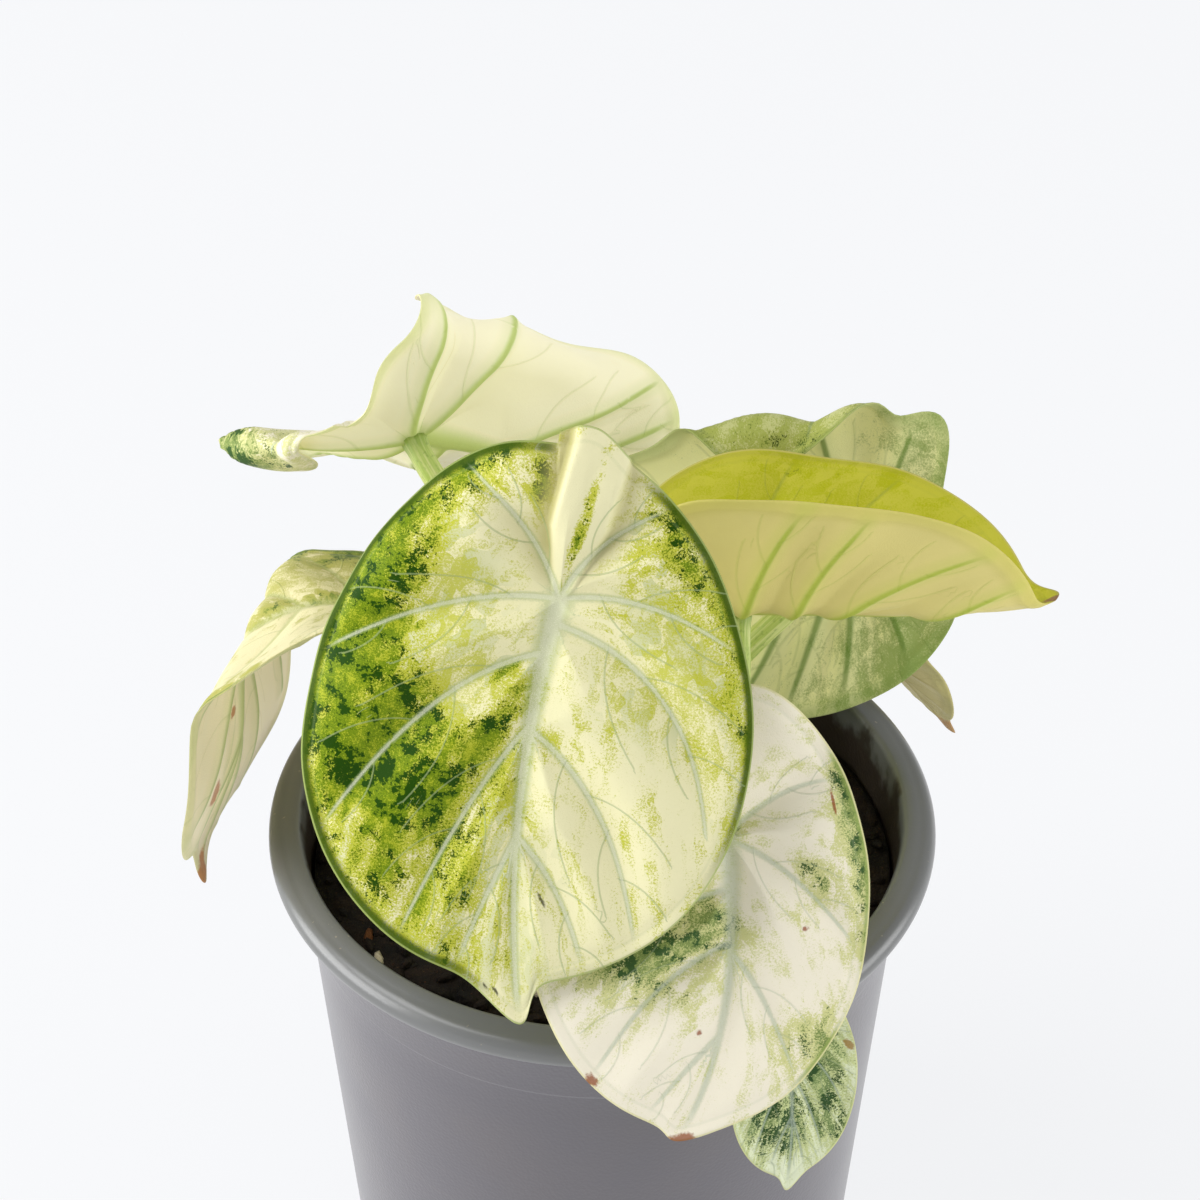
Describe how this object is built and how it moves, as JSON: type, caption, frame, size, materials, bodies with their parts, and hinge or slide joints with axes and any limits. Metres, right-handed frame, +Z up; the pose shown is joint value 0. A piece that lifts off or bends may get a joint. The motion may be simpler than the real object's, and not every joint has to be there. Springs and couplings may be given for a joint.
{
  "type": "potted alocasia",
  "caption": "Potted variegated alocasia: shield-shaped leaves on bent stalks, rising from dark soil in a round tapered plastic nursery pot.",
  "frame": {"origin": "centre of the pot's base, on the plane that the pot rests on", "axes": "+Z up along the pot's axis, the plant's front faces -Y, +X to the right seen from the front"},
  "size_m": [0.1544, 0.1337, 0.2033],
  "materials": {
    "pot_plastic": "fine satin grain, moulded grey plastic",
    "soil": "dark moist peat with brown specks",
    "crown": "rough brown leaf bases",
    "blade": "satin leaf, cream with green marbling",
    "stalk": "smooth light green stalk"
  },
  "bodies": {
    "root": {"pot": "pot_plastic", "soil": "soil", "crown": "crown", "blade_front": "blade", "blade_low": "blade", "blade_small": "blade", "blade_back": "blade", "blade_boat": "blade", "blade_wide": "blade", "blade_left": "blade", "blade_dry": "blade", "stalk_front": "stalk", "stalk_low": "stalk", "stalk_small": "stalk", "stalk_back": "stalk", "stalk_boat": "stalk", "stalk_wide": "stalk", "stalk_left": "stalk", "stalk_dry": "stalk"}
  },
  "joints": []
}
